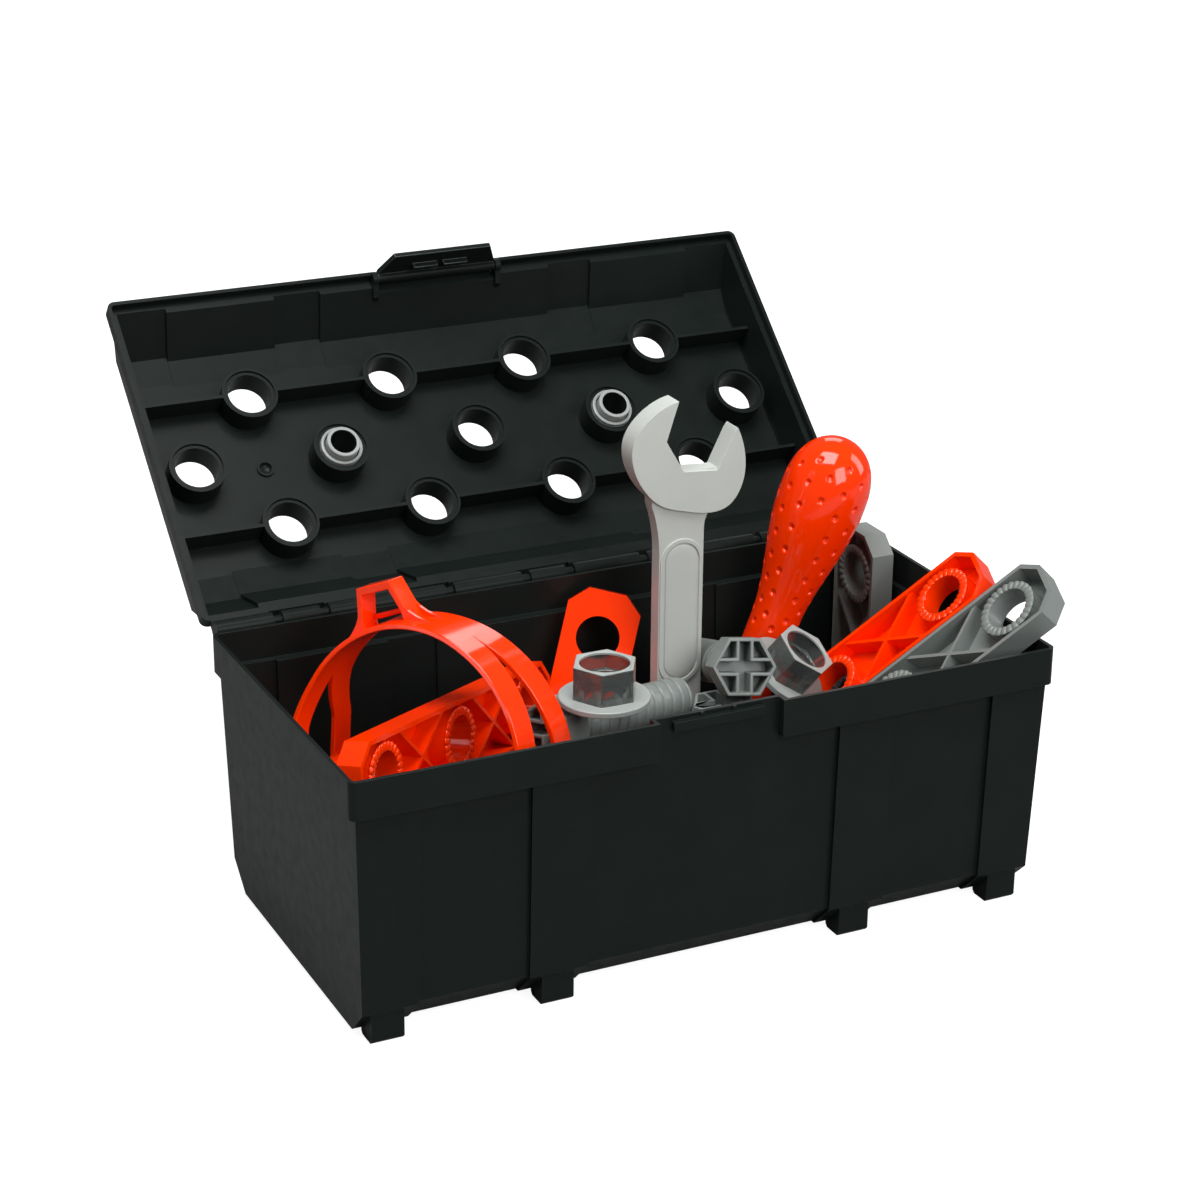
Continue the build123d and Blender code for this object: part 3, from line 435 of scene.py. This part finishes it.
plugs = merged_copy("handle_mounts")
spots = in_shut_lid(corner_places(plugs.data))
plug_x = np.where(spots[:, 0] < 0, -SOCKET_PITCH, SOCKET_PITCH)
reach, depth = np.hypot(spots[:, 0] - plug_x, spots[:, 1]), spots[:, 2]
on_tube = (np.abs(reach - PLUG_TUBE_CAD) < ON_RADIUS) & (depth < COLLAR_FOOT)
on_bore = (np.abs(reach - PLUG_BORE_CAD) < ON_RADIUS) & (depth < PLUG_TIP_Z + BORE_WIDENED)
widen = np.ones_like(reach)
widen[on_tube] = PLUG_TUBE / PLUG_TUBE_CAD
widen[on_bore] = PLUG_BORE / PLUG_BORE_CAD
spots[:, 0] = plug_x + (spots[:, 0] - plug_x) * widen
spots[:, 1] *= widen
move_corners(plugs.data, on_open_lid(spots))
# The tube's bore is painted black: painted shade deep inside it
plugs.data.materials.append(BLACK_PP)
spots = in_shut_lid(face_middles(plugs.data))
reach, depth = np.hypot(np.abs(spots[:, 0]) - SOCKET_PITCH, spots[:, 1]), spots[:, 2]
in_painted_bore_shade = ((reach < PLUG_BORE + 0.1) & (depth > PLUG_TIP_Z + 0.2)
           & (depth < COLLAR_FOOT + BORE_PAINTED_SHADE_DEPTH))
plugs.data.polygons.foreach_set("material_index", in_painted_bore_shade.astype(np.int32))
finished(plugs, "handle_mounts", PLUG_EDGE_MM)
plug_collar(-SOCKET_PITCH, "plug_collar_left")
plug_collar(SOCKET_PITCH, "plug_collar_right")

# Beams: the ring tops are lowered a little, and a toothed crown stands on each

BEAM_RINGS = {
    "beam_orange_left": 3, "beam_orange_centre": 2, "beam_orange_right": 2, "beam_grey_right": 3,
    "beam_grey_back": 2,
}
BEAM_PITCH, RING_BORE, RING_OUTER, BEAM_EDGE_MM = 75.0, 11.3, 15.6, 0.5
CROWN_DROP, CROWN_TEETH, CROWN_TOOTH, CROWN_WAVE, CROWN_LIFT = 1.2, 26, 0.65, 0.4, 0.25


def ring_crown(tool, centre_x):
    """A toothed crown round a ring's mouth.

    Round the ring by the angle t the height is low + tooth * |sin(teeth * t / 2)|^0.6, and the
    outer wall swells by the same wave; the cross-section is a closed strip from the bore's wall
    over to the outside.
    """
    t = np.linspace(0, 2 * np.pi, 8 * CROWN_TEETH, endpoint=False)
    wave = np.abs(np.sin(CROWN_TEETH * t / 2)) ** 0.6
    top = -CROWN_DROP + CROWN_LIFT + CROWN_TOOTH * wave
    outer = RING_OUTER + CROWN_WAVE * wave
    zero = np.zeros_like(t)
    radii = np.stack([zero + RING_BORE, zero + RING_BORE, zero + RING_BORE + 0.35,
                      (RING_BORE + outer) / 2, outer - 0.6, outer - 0.1, outer])
    heights = np.stack([zero - CROWN_DROP - 0.4, top - 0.35, top - 0.05, top, top - 0.05, top - 0.4,
                        zero - CROWN_DROP - 0.6])
    points = np.stack([centre_x + radii * np.cos(t), radii * np.sin(t), heights], -1).reshape(-1, 3)
    faces = grid_faces(len(radii), len(t), round_rows=True)
    number = int(-centre_x / BEAM_PITCH) + 1
    return piece(f"{tool}_crown_{number}", where_it_lies(tool, points), faces, tool)


for beam_name, ring_count in BEAM_RINGS.items():
    channel = merged_copy(beam_name)
    spots = in_tool_frame(beam_name, corner_places(channel.data))
    for ring in range(ring_count):
        reach = np.hypot(spots[:, 0] + ring * BEAM_PITCH, spots[:, 1])
        spots[(reach < RING_OUTER + 0.3) & (spots[:, 2] > -0.1), 2] = -CROWN_DROP
    move_corners(channel.data, where_it_lies(beam_name, spots))
    finished(channel, beam_name, BEAM_EDGE_MM)
    for ring in range(ring_count):
        ring_crown(beam_name, -ring * BEAM_PITCH)

# Bolts: the pocketed head keeps its CAD shape, and a threaded shank is worked out below it

BOLT_HEAD, BOLT_LENGTH, BOLT_SHANK, BOLT_TIP, BOLT_EDGE_MM = 15.0, 92.0, 10.6, 1.6, 0.45
THREAD_PITCH, THREAD_OUT, THREAD_IN, GROOVE_SHARE = 6.2, 0.55, 0.85, 0.45


def threaded_shank(tool):
    """The bolt's shank with its coarse rounded thread.

    At height z and angle t the radius is shank + thread(z / pitch + t / turn): away from the
    middle of its groove the thread climbs as sin(distance)^0.8 over the groove's share of the
    pitch, then stays at its broad land; it fades out over half a pitch at both ends.
    """
    t = np.linspace(0, 2 * np.pi, 72, endpoint=False)[None, :]
    low, high = -BOLT_LENGTH + BOLT_TIP, -BOLT_HEAD
    z = np.linspace(high, low, 241)[:, None]
    turn = (z / THREAD_PITCH + t / (2 * np.pi)) % 1.0
    land = np.sin(np.pi / 2 * np.clip(2 * np.abs(turn - 0.5) / GROOVE_SHARE, 0, 1)) ** 0.8
    fade = np.clip(np.minimum(high - z, z - low) / (THREAD_PITCH / 2), 0, 1)
    radius = BOLT_SHANK + fade * (land * (THREAD_OUT + THREAD_IN) - THREAD_IN)
    rows_r = np.vstack([radius, np.full((1, t.size), BOLT_SHANK - BOLT_TIP),
                        np.zeros((1, t.size))])
    rows_z = np.vstack([z + 0 * t, np.full((2, t.size), -BOLT_LENGTH)])
    points = np.stack([rows_r * np.cos(t), rows_r * np.sin(t), rows_z], -1).reshape(-1, 3)
    faces = grid_faces(len(rows_r), t.size)[:, ::-1]
    shank = piece(f"{tool}_threaded_shank", where_it_lies(tool, points), faces, tool)
    sharp_by_angle(shank, 50.0)
    return shank


for bolt_name in ("bolt_centre", "bolt_front", "bolt_left"):
    head = merged_copy(bolt_name, f"{bolt_name}_head")
    below = in_tool_frame(bolt_name, face_middles(head.data))[:, 2] < -BOLT_HEAD - 0.05
    skin = bmesh.new()
    skin.from_mesh(head.data)
    skin.faces.ensure_lookup_table()
    bmesh.ops.delete(skin, geom=[skin.faces[i] for i in np.flatnonzero(below)], context="FACES")
    skin.to_mesh(head.data)
    skin.free()
    finished(head, bolt_name, BOLT_EDGE_MM)
    threaded_shank(bolt_name)

# Nuts: clear hexagonal cups with a frosted rim, on a frosted flange

NUT_FLANGE, NUT_HEIGHT, NUT_EDGE_MM = 3.0, 20.0, 0.5
NUT_MOUTH_ACROSS, NUT_MOUTH_ROUND, NUT_RIM = 25.0, 12.3, 1.3


def nut_rim(tool):
    """The frosted rim that rounds off the cup's six-sided mouth.

    At the angle t its outer edge is the hexagon apothem / cos(t - middle of its side), its inner
    edge is a circle; both are carried down from the nut's top over the rim's thickness.
    """
    t = np.linspace(0, 2 * np.pi, 96, endpoint=False)
    side = t % (np.pi / 3) - np.pi / 6
    outer = (NUT_MOUTH_ACROSS / 2 + 0.15) / np.cos(side)
    inner = np.full_like(t, NUT_MOUTH_ROUND)
    radii = np.stack([inner, inner + 0.25, outer, outer, inner])
    heights = NUT_HEIGHT - np.array([0.3, 0.05, 0.05, NUT_RIM, NUT_RIM])[:, None] + 0 * t
    points = np.stack([radii * np.cos(t), radii * np.sin(t), heights], -1).reshape(-1, 3)
    faces = grid_faces(len(radii), t.size, round_rows=True)
    rim = piece(f"{tool}_rim", where_it_lies(tool, points), faces, tool)
    rim.data.materials[0] = FROSTED_PS
    sharp_by_angle(rim, 40.0)
    return rim


for nut_name in ("nut_left", "nut_right"):
    cup = merged_copy(nut_name)
    cup.data.materials.append(FROSTED_PS)
    middles = in_tool_frame(nut_name, face_middles(cup.data))
    on_flange, on_rim = middles[:, 2] < NUT_FLANGE + 0.05, middles[:, 2] > NUT_HEIGHT - 0.05
    cup.data.polygons.foreach_set("material_index", (on_flange | on_rim).astype(np.int32))
    finished(cup, nut_name, NUT_EDGE_MM)
    nut_rim(nut_name)

# The hammer's grip

GRIP_TOP, GRIP_BULB, GRIP_BULB_BELOW, GRIP_SWELL, GRIP_NECK = 182.0, 23.0, 34.0, 72.0, 13.0
GRIP_FOOT, PEG_RADIUS = 17.1, 10.0
DIMPLE_COLUMNS, DIMPLE_ALONG, DIMPLE_RADIUS, DIMPLE_DEPTH = 14, 12.6, 1.8, 1.5
DIMPLES_FROM, DIMPLES_TO = 72.0, 172.0
# The bare strip along the grip: where it faces, its half width in radians, and its ends
STRIP_TURN, STRIP_HALF, STRIP_FROM, STRIP_TO = -2.2, 0.24, 78.0, 150.0


def grip_outline(z):
    """The grip's radius at a height: a neck, a half-cosine swell to the bulb, a rounded crown."""
    bulb_z = GRIP_TOP - GRIP_BULB_BELOW
    swell = np.clip((bulb_z - z) / GRIP_SWELL, 0, 1)
    radius = GRIP_BULB - (GRIP_BULB - GRIP_NECK) * (1 - np.cos(np.pi * swell)) / 2
    up = np.clip((z - bulb_z) / GRIP_BULB_BELOW, 0, 1)
    return np.where(z > bulb_z, GRIP_BULB * np.sqrt(np.clip(1 - up ** 2.6, 0, 1)), radius)


def hammer_grip():
    """The grip: outline(z) turned about its axis, with rows of small round pits.

    Each point finds its nearest pit centre on a staggered net of columns round the grip and steps
    along it; at a distance d under the pit's radius the surface sinks by
    depth * (1 - (d / radius)^3)^1.2.
    """
    t = np.linspace(0, 2 * np.pi, 280, endpoint=False)[None, :]
    bulb_z = GRIP_TOP - GRIP_BULB_BELOW
    crown = GRIP_BULB_BELOW * np.sin(np.linspace(0, np.pi / 2, 72))[::-1]
    z = np.concatenate([bulb_z + crown[1:-1], np.linspace(bulb_z, GRIP_FOOT, 230)])[:, None]
    z = z + 0 * t
    base = grip_outline(z)
    column_turn = 2 * np.pi / DIMPLE_COLUMNS
    column = np.round((t - STRIP_TURN) / column_turn)
    aside = (t - STRIP_TURN) - column * column_turn
    stagger = np.where(column % 2 == 0, 0.0, DIMPLE_ALONG / 2)
    step = np.round((z - stagger) / DIMPLE_ALONG)
    along = z - stagger - step * DIMPLE_ALONG
    spot_z = step * DIMPLE_ALONG + stagger
    distance = np.hypot(aside * base, along)
    from_strip = np.abs((column * column_turn + np.pi) % (2 * np.pi) - np.pi)
    bare = (from_strip < STRIP_HALF) & (spot_z > STRIP_FROM) & (spot_z < STRIP_TO)
    there = (spot_z > DIMPLES_FROM) & (spot_z < DIMPLES_TO) & ~bare
    pit = np.clip(1 - (distance / DIMPLE_RADIUS) ** 3, 0, 1) ** 1.2
    radius = base - DIMPLE_DEPTH * pit * there
    foot_r = np.array([GRIP_NECK - 0.6, PEG_RADIUS, PEG_RADIUS, 0.0])[:, None] + 0 * t
    foot_z = np.array([GRIP_FOOT - 0.05, GRIP_FOOT - 0.1, 0.0, 0.0])[:, None] + 0 * t
    top_r, top_z = 0 * t, GRIP_TOP + 0 * t
    rows_r, rows_z = np.vstack([top_r, radius, foot_r]), np.vstack([top_z, z, foot_z])
    points = np.stack([rows_r * np.cos(t), rows_r * np.sin(t), rows_z], -1).reshape(-1, 3)
    faces = grid_faces(len(rows_r), t.size)[:, ::-1]
    grip = piece("hammer_grip", where_it_lies("hammer", points), faces, "hammer_handle")
    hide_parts("hammer_handle")
    return grip


hammer_grip()

# The ear defenders' hanging loop: flared feet on its legs and a bar behind it

ARCH_RADIUS, LOOP_HALF, LOOP_DEPTH, BAND_EDGE_MM = 66.0, 17.0, 12.0, 0.5
FLARE_FROM, FLARE_TO, FLARE_UP, FLARE_THICK = 12.0, 27.5, 12.0, 1.8
BAR_THICK, BAR_OVER_ARCH = 2.6, 1.6
# How far round the arch the loop and the slits lie, and between which angles that dies out
LOOP_ROUND, ROUND_HOLDS_TO, ROUND_ENDS_AT = 23.0, 42.0, 88.0


def round_arch(points):
    """Slide points of the arch round its own circle: each keeps its distance from the arch's axis.

    The slide is the whole LOOP_ROUND up to ROUND_HOLDS_TO degrees from the top, and falls evenly
    to none at ROUND_ENDS_AT, so the arch keeps its shape and its ends stay where they are.
    """
    x, y, z = np.moveaxis(np.asarray(points, float), -1, 0)
    angle, reach = np.degrees(np.arctan2(y, z)), np.hypot(y, z)
    share = np.clip((ROUND_ENDS_AT - np.abs(angle)) / (ROUND_ENDS_AT - ROUND_HOLDS_TO), 0, 1)
    angle = np.radians(angle + LOOP_ROUND * share)
    return np.stack([x, reach * np.sin(angle), reach * np.cos(angle)], -1)


band = merged_copy("ear_defender_band")
spots = in_tool_frame("ear_defenders", corner_places(band.data))
move_corners(band.data, where_it_lies("ear_defenders", round_arch(spots)))
finished(band, "ear_defender_band", BAND_EDGE_MM)


def flared_foot(side, x_middle, name):
    """A curved web from a leg of the loop down to the band.

    Its upper edge is the quarter of a superellipse, from inside the leg at FLARE_UP over the band
    down to the band itself; its lower edge follows the band's own circle. Both are carried over
    its thickness.
    """
    u = np.linspace(0, 1, 17)
    out = FLARE_FROM + (FLARE_TO - FLARE_FROM) * u
    arch = np.sqrt(ARCH_RADIUS ** 2 - out ** 2)
    lift = FLARE_UP * (1 - (1 - (1 - u) ** 1.9) ** (1 / 1.9))
    upper, lower = arch + lift + 0.25, arch - 0.8
    x = np.array([-0.5, 0.5]) * FLARE_THICK + x_middle
    rows = [(upper, x[0]), (upper, x[1]), (lower, x[1]), (lower, x[0])]
    points = np.concatenate([np.stack([np.full_like(u, at), side * out, height], -1)
                             for height, at in rows])
    faces = grid_faces(4, u.size, round_rows=True, round_columns=False)
    faces = faces if side < 0 else faces[:, ::-1]
    ends = [[k * u.size for k in range(4)], [k * u.size + u.size - 1 for k in (3, 2, 1, 0)]]
    ends = ends if side > 0 else [face[::-1] for face in ends]
    web = piece(name, where_it_lies("ear_defenders", round_arch(points)), [*faces.tolist(), *ends],
                "ear_defender_band")
    sharp_by_angle(web, 40.0)
    return web


def loop_bar():
    """The bar behind the loop: a straight square strip between its legs, with its corners cut."""
    half_y, half_thick = LOOP_HALF - 2.2, BAR_THICK / 2
    k = np.arange(8) * np.pi / 4 + np.pi / 8
    across = LOOP_DEPTH / 2 - half_thick + half_thick * np.cos(k) / np.cos(np.pi / 8)
    upright = (ARCH_RADIUS + BAR_OVER_ARCH + half_thick
               + half_thick * np.sin(k) / np.cos(np.pi / 8))
    points = np.concatenate([np.stack([across, np.full_like(across, y), upright], -1)
                             for y in (-half_y, half_y)])
    faces = grid_faces(2, 8).tolist() + [list(range(7, -1, -1)), list(range(8, 16))]
    bar = piece("ear_defender_loop_bar", where_it_lies("ear_defenders", round_arch(points)), faces,
                "ear_defender_band")
    sharp_by_angle(bar, 60.0)
    return bar


for foot_side, side_name in ((-1, "left"), (1, "right")):
    for foot_x, end_name in ((-1, "front"), (1, "back")):
        flared_foot(foot_side, foot_x * (LOOP_DEPTH / 2 - FLARE_THICK / 2),
                    f"ear_defender_loop_foot_{side_name}_{end_name}")
loop_bar()

# The wrench's raised panel inside its long ring

PANEL_LENGTH, PANEL_WIDTH, PANEL_MIDDLE = 72.4, 17.9, -55.8
PANEL_FACE, PANEL_PROUD, PANEL_EDGE = 4.0, 0.55, 0.5


def wrench_panel(side, name):
    """A long round-ended plate on the stem: rows of its outline drawn in towards its middle line.

    A point of the outline at turn t is the end circle's point moved to its own end of the middle
    line; row by row the circle's radius shrinks and the height follows a rounded edge, then stays
    flat.
    """
    t = np.linspace(0, 2 * np.pi, 96, endpoint=False)[None, :]
    straight = (PANEL_LENGTH - PANEL_WIDTH) / 2
    inset = np.array([0.0, 0.0, 0.15, PANEL_EDGE, PANEL_WIDTH / 4, PANEL_WIDTH / 2])
    height = np.array([-0.4, PANEL_PROUD - 0.3, PANEL_PROUD - 0.08, *[PANEL_PROUD] * 3])
    radius = PANEL_WIDTH / 2 - inset[:, None]
    x = radius * np.cos(t)
    z = radius * np.sin(t) + np.where(np.sin(t) >= 0, straight, -straight) + PANEL_MIDDLE
    y = side * (PANEL_FACE + height)[:, None] + 0 * x
    points = np.stack([x, y, z], -1).reshape(-1, 3)
    faces = grid_faces(len(inset), t.size)
    faces = faces[:, ::-1] if side > 0 else faces
    return piece(name, where_it_lies("wrench", points), faces, "wrench")


wrench_panel(-1, "wrench_panel_front")
wrench_panel(1, "wrench_panel_back")


# Floor, light and camera

FLOOR_HALF = 6.0
# Up to this far from the middle, in metres, the floor shows a trace of its shadow, and from this
# far on the camera sees plain white; the light that it adds for that within the first
FLOOR_SHADOW_TO, FLOOR_WHITE_FROM, FLOOR_LIFT = 0.5, 1.0, 0.9
PAPER_FIBRE_MM, PAPER_RELIEF_MM = 1.5, 0.05
# How much the white room shines on things, and how bright it is behind them
ROOM_SHINE, ROOM_SEEN = 0.13, 1.0


def floor_material():
    """Pale grey matt paper, which the camera and the clear nuts see lifted to white."""
    material, tree, place = new_material("white matt backdrop paper")
    flat = add(tree, "ShaderNodeVectorMath", {"operation": "MULTIPLY", 1: (1.0, 1.0, 0.0)},
               [(0, (place, "Object"))])
    away = add(tree, "ShaderNodeVectorMath", {"operation": "LENGTH"}, [(0, (flat, 0))])
    far = add(tree, "ShaderNodeMapRange",
              {"From Min": FLOOR_SHADOW_TO, "From Max": FLOOR_WHITE_FROM,
               "To Min": FLOOR_LIFT, "To Max": 1.0},
              [("Value", (away, "Value"))])
    seen = add(tree, "ShaderNodeLightPath", {})
    direct = add(tree, "ShaderNodeMath", {"operation": "MAXIMUM"},
                 [(0, (seen, "Is Camera Ray")), (1, (seen, "Is Transmission Ray"))])
    share = add(tree, "ShaderNodeMath", {"operation": "MULTIPLY"},
                [(0, (far, 0)), (1, (direct, 0))])
    fibre = add(tree, "ShaderNodeTexNoise", {"Scale": METRE_MM / PAPER_FIBRE_MM, "Detail": 3.0},
                [("Vector", (place, "Object"))])
    bump = add(tree, "ShaderNodeBump", {"Strength": 0.3, "Distance": PAPER_RELIEF_MM * MM},
               [("Height", (fibre, "Fac"))])
    paper = add(tree, "ShaderNodeBsdfPrincipled",
                {"Base Color": linear("#9C9C9C"), "Roughness": 0.95}, [("Normal", (bump, 0))])
    white = add(tree, "ShaderNodeEmission", {"Color": linear("#FFFFFF")},
                [("Strength", (share, 0))])
    both = add(tree, "ShaderNodeAddShader", {}, [(0, (paper, 0)), (1, (white, 0))])
    add(tree, "ShaderNodeOutputMaterial", {}, [("Surface", (both, 0))])
    return material


floor_mesh = bpy.data.meshes.new("floor")
floor_mesh.from_pydata(
    [(-FLOOR_HALF, -FLOOR_HALF, 0), (FLOOR_HALF, -FLOOR_HALF, 0),
     (FLOOR_HALF, FLOOR_HALF, 0), (-FLOOR_HALF, FLOOR_HALF, 0)], [], [(0, 1, 2, 3)])
floor = bpy.data.objects.new("floor", floor_mesh)
bpy.context.scene.collection.objects.link(floor)
floor_mesh.materials.append(floor_material())

world = bpy.data.worlds.new("studio")
bpy.context.scene.world = world
world.use_nodes = True
world_tree = world.node_tree
world_tree.nodes.clear()
seen = add(world_tree, "ShaderNodeLightPath", {})
seen_or_through = add(world_tree, "ShaderNodeMath", {"operation": "MAXIMUM"},
                      [(0, (seen, "Is Camera Ray")), (1, (seen, "Is Transmission Ray"))])
room, white = (add(world_tree, "ShaderNodeBackground",
                   {"Color": linear("#FFFFFF"), "Strength": strength})
               for strength in (ROOM_SHINE, ROOM_SEEN))
both = add(world_tree, "ShaderNodeMixShader", {},
           [(0, (seen_or_through, 0)), (1, (room, 0)), (2, (white, 0))])
add(world_tree, "ShaderNodeOutputWorld", {}, [("Surface", (both, 0))])


# The soft boxes: how far to the right of and behind the tool box's middle and how high each
# stands, its width and height, all in metres, and its watts; and the height that they aim at
SOFT_BOXES = {
    "overhead": (-0.3, -0.3, 1.9, 1.3, 1.0, 38.0),
    "front": (0.25, -1.85, 1.15, 1.0, 1.1, 22.0),
    "left": (-1.7, -0.15, 0.75, 0.45, 1.2, 3.0),
    "right": (1.65, -0.4, 0.9, 0.6, 1.2, 10.0),
    "back_right": (0.9, 1.25, 1.2, 0.7, 0.6, 4.0),
}
AIM_HEIGHT = 0.15

middle = tuple(BOX_MIDDLE_MM * MM)
for lamp_name, (aside, behind, up_high, width, height, watts) in SOFT_BOXES.items():
    lamp_data = bpy.data.lights.new(lamp_name, "AREA")
    lamp_data.shape = "RECTANGLE"
    lamp_data.size, lamp_data.size_y, lamp_data.energy = width, height, watts
    lamp = bpy.data.objects.new(lamp_name, lamp_data)
    lamp.location = (middle[0] + aside, middle[1] + behind, up_high)
    to_box = Vector((middle[0], middle[1], AIM_HEIGHT)) - lamp.location
    lamp.rotation_euler = to_box.to_track_quat("-Z", "Y").to_euler()
    bpy.context.scene.collection.objects.link(lamp)

# The photograph's view: found by fitting the box's corners, feet and lid
CAMERA_AT_MM = np.array((-586.5, -1169.3, 680.7))
CAMERA_TARGET_MM = np.array((-17.9, 0.0, 162.7))
CAMERA_ROLL = 0.47
CAMERA_LENS = 86.43
camera_data = bpy.data.cameras.new("photograph_view")
camera_data.lens, camera_data.sensor_width = CAMERA_LENS, 36.0
camera_data.clip_start, camera_data.clip_end = 0.05, 50.0
camera = bpy.data.objects.new("photograph_view", camera_data)
bpy.context.scene.collection.objects.link(camera)
look = CAMERA_TARGET_MM - CAMERA_AT_MM
look = look / np.linalg.norm(look)
level = np.cross(look, (0, 0, 1))
level = level / np.linalg.norm(level)
upright = np.cross(level, look)
roll = np.radians(CAMERA_ROLL)
right = np.cos(roll) * level + np.sin(roll) * upright
up = -np.sin(roll) * level + np.cos(roll) * upright
placed = Matrix(np.column_stack([right, up, -look]).tolist()).to_4x4()
placed.translation = Vector((CAMERA_AT_MM + BOX_MIDDLE_MM) * MM)
camera.matrix_world = placed
bpy.context.scene.camera = camera
bpy.context.scene.view_settings.view_transform = "Standard"
